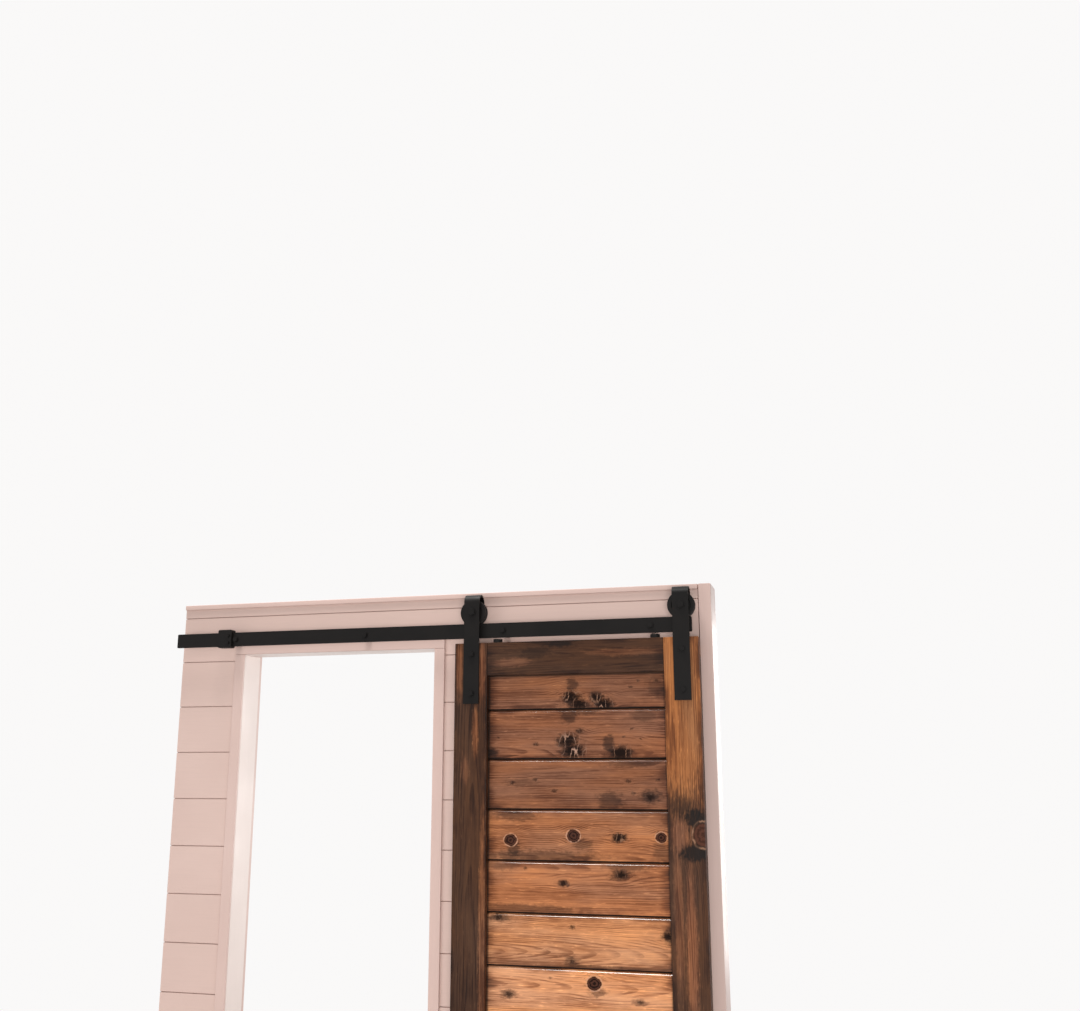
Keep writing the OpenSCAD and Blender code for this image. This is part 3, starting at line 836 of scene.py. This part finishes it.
@dataclass
class PlankDoor:
    """The leaf of the door: boards behind a face frame."""

    count: int = 16
    eased_by: float = 0.0006
    frame_eased_by: float = 0.0016
    clear_side: float = 0.12
    clear_edge: float = 0.02
    clear_knots: float = 0.05
    ringed_from: float = 0.008
    seed_start: float = 1.0
    seed_step: float = 5.3
    laid: int = 0

    def look(self, number: int, low: Vector, high: Vector) -> BoardLook:
        """Gives a board's look: as described, or in the same manner for the boards further down.

        Args:
            number: The board's number from the top.
            low: Its lowest corner.
            high: Its highest corner.

        Returns:
            The look of that board.
        """
        if number in SEEN_BOARDS:
            return SEEN_BOARDS[number]
        chance = random.Random(number)
        knots = []
        for _ in range(chance.randint(2, 4)):
            x = chance.uniform(low.x + self.clear_side, high.x - self.clear_side)
            z = chance.uniform(low.z + self.clear_edge, high.z - self.clear_edge)
            size = chance.choice((0.004, 0.005, 0.0055, 0.009))
            if all(math.dist((x, z), (k.x, k.z)) > self.clear_knots for k in knots):
                knots.append(Knot(x, z, size, RINGED if size > self.ringed_from else KnotKind.BLACK))
        smudged = [knot for knot in knots[:2] if knot.kind is KnotKind.BLACK]
        return BoardLook(
            stain=chance.choice((Stain.HONEY, Stain.AMBER, Stain.HONEY)), heart=chance.uniform(-0.03, 0.03),
            behind=chance.uniform(0.028, 0.05), lean=chance.uniform(0.02, 0.08),
            lift=chance.uniform(0.95, 1.1), knots=tuple(knots),
            patches=tuple(Patch(k.x, k.z, 0.020, 0.012, 0.55) for k in smudged))

    def add(self, node: str, look: BoardLook, grain: Grain, slot: str, width: float, knot: Tree) -> None:
        """Adds one wooden piece in place of its solid.

        Args:
            node: The solid's name.
            look: How the board looks.
            grain: The direction of its length.
            slot: Its material slot; not used.
            width: The width of its eased edges.
            knot: The group that adds a knot.
        """
        seed = self.laid * self.seed_step + self.seed_start
        self.laid += 1
        finish = PineFinish(node, look, grain, seed)
        mesh = eased(node, width)
        mesh.normal_update()
        # Upward bevels are marked 1 and take a full coat of varnish; downward bevels are marked -1, where the
        # material paints shade into the groove
        varnish_and_shade = mesh.faces.layers.float.new("varnish_and_shade")
        for face in mesh.faces:
            bevelled = 0.5 < abs(face.normal.z) < 0.9 and face.normal.y < -0.5
            face[varnish_and_shade] = math.copysign(1.0, face.normal.z) if bevelled else 0.0
        finished(mesh, node + "_wood", "door", finish.build(knot), (node,))

    def build(self) -> None:
        """Builds the boards and the frame."""
        knot = knot_group()
        for number in range(1, self.count + 1):
            node = f"door_board_{number}"
            look = self.look(number, *corners(node))
            self.add(node, look, Grain.ALONG_X, "stained_planks", self.eased_by, knot)
        for node, (grain, look) in FRAME_LOOKS.items():
            self.add(node, look, grain, "stained_frame", self.frame_eased_by, knot)


@dataclass
class WallBay:
    """The painted wall with its shiplap, trim and doorway lining."""

    board_edge: float = 0.0012
    trim_edge: float = 0.0018
    shortest_board_edge: float = 0.02

    def paint(
        self, nodes: tuple[str, ...], finish: Material, edge: float, shortest: float = 0.004
    ) -> None:
        """Adds painted pieces in place of their solids, with long edges eased by a width."""
        for node in nodes:
            finished(eased(node, edge, shortest), node + "_painted", "wall", finish, (node,))

    def build(self) -> None:
        """Builds the painted pieces and paints the wall's core."""
        trim, upwards = shade(220, 192, 183), (260.0, 260.0, 9.0)
        boards = PaintFinish("shiplap_paint", shade(222, 194, 184)).build()
        upright = PaintFinish("trim_paint", trim, upwards, 0.38).build()
        level = PaintFinish("level_trim_paint", trim, roughness=0.38).build()
        # The lining paint is the shiplap's white made lighter: a painted lit copy standing in for the light
        # that falls on the jambs through the doorway
        lining = PaintFinish("lit_lining_paint", shade(240, 226, 220), upwards, 0.38).build()
        shiplap = ("front_shiplap", "back_shiplap")
        self.paint(shiplap, boards, self.board_edge, self.shortest_board_edge)
        self.paint(("end_board",), upright, self.trim_edge)
        for node in ("wall_left", "wall_right", "wall_over_door"):
            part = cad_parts[node]
            part.data.materials.clear()
            part.data.materials.append(boards)
        self.paint(
            ("front_casing_left", "front_casing_right", "back_casing_left", "back_casing_right",
             "front_corner_board", "back_corner_board"), upright, self.trim_edge)
        self.paint(
            ("front_head_casing", "back_head_casing", "ceiling_strip"), level, self.trim_edge)
        self.paint(("jamb_left", "jamb_right", "head_jamb"), lining, self.board_edge)


@dataclass
class RollingHardware:
    """The flat bar, its bolts, spacers and stop, the strap hangers and the grooved wheels."""

    round_sides: int = 40
    bar_edge: float = 0.0007
    strap_edge: float = 0.0009
    shortest_disc_edge: float = 0.0005
    washer_thick: float = 0.0014
    bolt_head_r: float = 0.0075
    bolt_r: float = 0.004
    bolt_end_gap: float = 0.0003
    nut_r: float = 0.008
    nut_thick: float = 0.002
    strap_thick: float = 0.005
    axle_r: float = 0.006
    sleeve_r: float = 0.009
    sleeve_long: float = 0.0067
    bore_r: float = 0.00605
    hub_r: float = 0.012
    slope: float = 0.0015
    recess_deep: float = 0.003
    web_r: float = 0.0242
    groove_r: float = 0.0297
    groove_half: float = 0.0035
    flare: float = 0.002
    rim_edge: float = 0.0012
    rim_round: float = 0.0005
    wheel_steps: int = 96
    guide_half: float = 0.025
    guide_thick: float = 0.004
    screw_drops: tuple[float, ...] = (0.014, 0.040)
    screw_head_r: float = 0.0052
    screw_head_high: float = 0.0032

    def rod(self, mesh: Mesh, start: Vector, radius: float, length: float) -> None:
        """Adds a round bar along +Y that starts at a place, which is the middle of its front end."""
        turn = Matrix.Rotation(math.radians(-90), 4, "X")
        bmesh.ops.create_cone(
            mesh, cap_ends=True, cap_tris=False, segments=self.round_sides, radius1=radius, radius2=radius,
            depth=length, matrix=Matrix.Translation(start + Vector((0.0, length / 2, 0.0))) @ turn)

    def head(self, mesh: Mesh, centre: Vector, corner_r: float, height: float, away: int = -1) -> None:
        """Adds a chamfered hex head, or a nut, on its washer.

        Args:
            mesh: The mesh that takes it.
            centre: Where its axis meets the surface that it is on.
            corner_r: Radius to its corners.
            height: Its height.
            away: -1 where it points to -Y, and 1 where it points to +Y.
        """
        part = bmesh.new()
        bmesh.ops.create_cone(
            part, cap_ends=True, cap_tris=False, segments=6, radius1=corner_r, radius2=corner_r, depth=height)
        top = [edge for edge in part.edges if all(vert.co.z > 0 for vert in edge.verts)]
        bmesh.ops.subdivide_edges(part, edges=top, cuts=5)
        lid = max(part.faces, key=lambda face: face.calc_center_median().z)
        bmesh.ops.inset_region(part, faces=[lid], thickness=corner_r * 0.17, depth=0.0, use_even_offset=True)
        chamfer_r = corner_r * math.cos(math.pi / 6) * 0.93
        for vert in part.verts:
            reach = math.hypot(vert.co.x, vert.co.y)
            if vert.co.z > 0 and reach > chamfer_r:
                vert.co.z -= (reach - chamfer_r) * 0.55
        bmesh.ops.translate(part, vec=(0, 0, height / 2), verts=part.verts)
        bmesh.ops.create_cone(
            part, cap_ends=True, cap_tris=False, segments=self.round_sides, radius1=corner_r * 1.28,
            radius2=corner_r * 1.25, depth=self.washer_thick,
            matrix=Matrix.Translation((0, 0, self.washer_thick / 2)))
        turn = Matrix.Rotation(math.radians(90 if away < 0 else -90), 4, "X")
        bmesh.ops.transform(part, matrix=Matrix.Translation(centre) @ turn, verts=part.verts)
        loose = bpy.data.meshes.new("head")
        part.to_mesh(loose)
        part.free()
        mesh.from_mesh(loose)
        bpy.data.meshes.remove(loose)

    def bolts(self, node: str, seat: float, nut_r: float = 0.0) -> Mesh:
        """Makes a row of bolts: head, shank and, at the far end, a flush sleeve nut.

        Args:
            node: The solid that they stand for.
            seat: The Y of the surface under their heads.
            nut_r: Radius of the sleeve nuts, 0 for none.

        Returns:
            The bolts.
        """
        mesh = bmesh.new()
        for low, high in islands(node):
            x, z = (low.x + high.x) / 2, (low.z + high.z) / 2
            self.head(mesh, Vector((x, seat, z)), self.bolt_head_r, seat - low.y)
            self.rod(mesh, Vector((x, seat, z)), self.bolt_r, high.y - seat - self.bolt_end_gap)
            if nut_r:
                self.rod(mesh, Vector((x, high.y - self.nut_thick, z)), nut_r, self.nut_thick)
        return mesh

    def axle(self, node: str, strap: str) -> Mesh:
        """Makes a wheel bolt with its head, its nut and the sleeves beside the wheel.

        Args:
            node: The solid that it stands for.
            strap: The hanger that holds it.

        Returns:
            The bolt.
        """
        mesh = bmesh.new()
        low, high = corners(node)
        front, back = (corner.y for corner in corners(strap))
        x, z = (low.x + high.x) / 2, (low.z + high.z) / 2
        corner_r = (high.x - low.x) / 2
        self.head(mesh, Vector((x, front, z)), corner_r, front - low.y)
        self.head(mesh, Vector((x, back, z)), corner_r, high.y - back, 1)
        self.rod(mesh, Vector((x, front, z)), self.axle_r, back - front)
        for start in (front + self.strap_thick, back - self.strap_thick - self.sleeve_long):
            self.rod(mesh, Vector((x, start, z)), self.sleeve_r, self.sleeve_long)
        return mesh

    def wheel(self, node: str) -> Mesh:
        """Turns a grooved wheel by spinning its rounded section.

        Args:
            node: The solid that it stands for, which gives its place, width and radius.

        Returns:
            The wheel.
        """
        low, high = corners(node)
        half, flange = (high.y - low.y) / 2, (high.z - low.z) / 2
        side = [
            (self.bore_r, half), (self.hub_r, half), (self.hub_r + self.slope, half - self.recess_deep),
            (self.web_r, half - self.recess_deep), (self.web_r + self.slope, half),
            (flange - self.rim_edge, half), (flange, half - self.rim_edge),
            (flange, self.groove_half + self.flare), (self.groove_r, self.groove_half),
        ]
        outline = side + [(r, -y) for r, y in reversed(side)]
        mesh = bmesh.new()
        points = [mesh.verts.new((r, y, 0.0)) for r, y in outline]
        for pair in zip(points, points[1:] + points[:1]):
            mesh.edges.new(pair)
        rounded = points[5:8] + points[10:13]
        bmesh.ops.bevel(
            mesh, geom=rounded, offset=self.rim_round, offset_type="OFFSET", segments=3, affect="VERTICES",
            profile=0.5, material=-1)
        bmesh.ops.spin(
            mesh, geom=mesh.verts[:] + mesh.edges[:], cent=(0, 0, 0), axis=(0, 1, 0), dvec=(0, 0, 0),
            angle=math.tau, steps=self.wheel_steps, use_merge=True, use_duplicate=False)
        bmesh.ops.remove_doubles(mesh, verts=mesh.verts, dist=MERGE_DISTANCE)
        bmesh.ops.recalc_face_normals(mesh, faces=mesh.faces)
        bmesh.ops.translate(mesh, vec=(low + high) / 2, verts=mesh.verts)
        return mesh

    def build(self) -> None:
        """Builds the steel pieces."""
        coat = SteelFinish("black_powder_coat").build()
        rolled = SteelFinish("wheel_coat", (0.0072, 0.0060, 0.0056), 0.4).build()
        guide = eased("floor_guide", self.bar_edge)
        _, high = corners("floor_guide")
        for drop in self.screw_drops:
            seat = Vector((high.x - self.guide_half, high.y - self.guide_thick, high.z - drop))
            self.head(guide, seat, self.screw_head_r, self.screw_head_high)
        bar_face, strap_face = (corners(node)[0].y for node in ("track", "hanger_left"))
        on_wall = {node: eased(node, self.bar_edge) for node in ("track", "track_spacers", "end_stop")}
        on_wall |= {"floor_guide": guide, "lag_bolts": self.bolts("lag_bolts", bar_face)}
        on_door = {
            "hanger_bolts": self.bolts("hanger_bolts", strap_face, self.nut_r),
            "anti_jump_discs": eased("anti_jump_discs", self.bar_edge, self.shortest_disc_edge),
        }
        for body, meshes in (("wall", on_wall), ("door", on_door)):
            for node, mesh in meshes.items():
                finished(mesh, node + "_steel", body, coat, (node,))
        for side in ("left", "right"):
            hanger, wheel, axle = "hanger_" + side, "wheel_" + side, "axle_" + side
            strap, bolt = eased(hanger, self.strap_edge), self.axle(axle, hanger)
            finished(strap, hanger + "_strap", "door", coat, (hanger,))
            finished(self.wheel(wheel), wheel + "_turned", side + "_roller", rolled, (wheel,))
            finished(bolt, axle + "_steel", "door", coat, (axle,))


@dataclass(frozen=True)
class Lamp:
    """A soft rectangular lamp: its place, what it points at, its width and height, and its watts."""

    name: str
    place: Triple
    target: Triple
    size: tuple[float, float]
    power: float
    spread: float = 110.0
    tint: Colour = (1.0, 0.975, 0.955)

    def build(self) -> None:
        """Adds the lamp."""
        data = bpy.data.lights.new(self.name, "AREA")
        data.shape = "RECTANGLE"
        data.size, data.size_y = self.size
        data.energy = self.power
        data.color = self.tint
        data.spread = math.radians(self.spread)
        lamp = bpy.data.objects.new(self.name, data)
        lamp.location = self.place
        aim = Vector(self.target) - Vector(self.place)
        lamp.rotation_euler = aim.to_track_quat("-Z", "Y").to_euler()
        bpy.context.scene.collection.objects.link(lamp)


LAMPS = (
    Lamp("left_lamp", (-3.0, -3.2, 1.2), (-0.5, 0.0, 0.9), (1.8, 1.6), 8.5),
    Lamp("right_lamp", (1.3, -4.3, 1.2), (0.0, 0.0, 0.9), (1.8, 1.4), 26.5),
    Lamp("top_lamp", (-0.75, -0.50, 4.5), (-0.5, -0.25, 1.2), (1.4, 0.55), 38.0),
    Lamp("back_lamp", (1.0, 2.6, 1.5), (-0.9, 0.0, 1.1), (1.6, 1.6), 14.5),
)


@dataclass
class Studio:
    """The camera, the plain pale floor and the soft lamps."""

    eye: Triple = (0.680, -2.98845, 1.607)
    yaw: float = 14.93
    pitch: float = 13.21
    roll: float = 0.15
    lens: float = 37.07
    nearest: float = 0.05
    floor_half: float = 4.0
    sky_strength: float = 0.38
    sky: tuple[float, ...] = (1.0, 0.97, 0.95, 1.0)
    backdrop: tuple[float, ...] = (0.955, 0.945, 0.94, 1.0)
    floor_dark: tuple[float, ...] = (0.80, 0.785, 0.775, 1.0)
    floor_light: tuple[float, ...] = (0.84, 0.825, 0.815, 1.0)

    def camera(self) -> None:
        """Sets the camera where the view was taken from."""
        data = bpy.data.cameras.new("camera")
        data.lens = self.lens
        data.sensor_width = 36.0
        data.sensor_fit = "HORIZONTAL"
        data.clip_start = self.nearest
        camera = bpy.data.objects.new("camera", data)
        turn = (
            Matrix.Rotation(math.radians(self.yaw), 4, "Z")
            @ Matrix.Rotation(math.radians(self.pitch + 90.0), 4, "X")
            @ Matrix.Rotation(math.radians(-self.roll), 4, "Z")
        )
        camera.matrix_world = Matrix.Translation(Vector(self.eye)) @ turn
        bpy.context.scene.collection.objects.link(camera)
        bpy.context.scene.camera = camera

    def world(self) -> None:
        """Makes a soft even sky that shows as a pale backdrop."""
        world = bpy.data.worlds.new("studio")
        bpy.context.scene.world = world
        world.use_nodes = True
        world.node_tree.nodes.clear()
        bench = Bench(world.node_tree)
        seen = bench.node("LightPath").outputs
        shown = bench.most(seen["Is Camera Ray"], seen["Is Transmission Ray"])
        shown = bench.most(shown, seen["Is Glossy Ray"])
        light = bench.node("Background", {"Color": self.sky, "Strength": self.sky_strength})
        backdrop = bench.node("Background", {"Color": self.backdrop, "Strength": 1.0})
        mixed = bench.node("MixShader", {0: shown, 1: light.outputs[0], 2: backdrop.outputs[0]})
        bench.node("OutputWorld", {0: mixed.outputs[0]})

    def floor(self) -> None:
        """Lays the plain pale floor."""
        made, bench, shader = material("pale_floor")
        cloud = bench.noise(bench.place(), (0.8, 0.8, 0.8), 2.0)
        colour = bench.blend(cloud, self.floor_dark, self.floor_light)
        bench.feed(shader.inputs, {"Base Color": colour, "Roughness": 0.85})
        mesh = bmesh.new()
        bmesh.ops.create_grid(mesh, x_segments=2, y_segments=2, size=self.floor_half)
        data = bpy.data.meshes.new("floor")
        mesh.to_mesh(data)
        mesh.free()
        data.materials.append(made)
        floor = bpy.data.objects.new("floor", data)
        bpy.context.scene.collection.objects.link(floor)

    def build(self) -> None:
        """Sets up the whole studio."""
        self.camera()
        self.world()
        self.floor()
        for lamp in LAMPS:
            lamp.build()
        bpy.context.scene.view_settings.view_transform = "Standard"


def main() -> None:
    """Builds the studio, the wall, the door and its hardware."""
    logging.basicConfig(level=logging.INFO, format="%(message)s")
    Studio().build()
    WallBay().build()
    PlankDoor().build()
    RollingHardware().build()


if __name__ == "__main__":
    main()
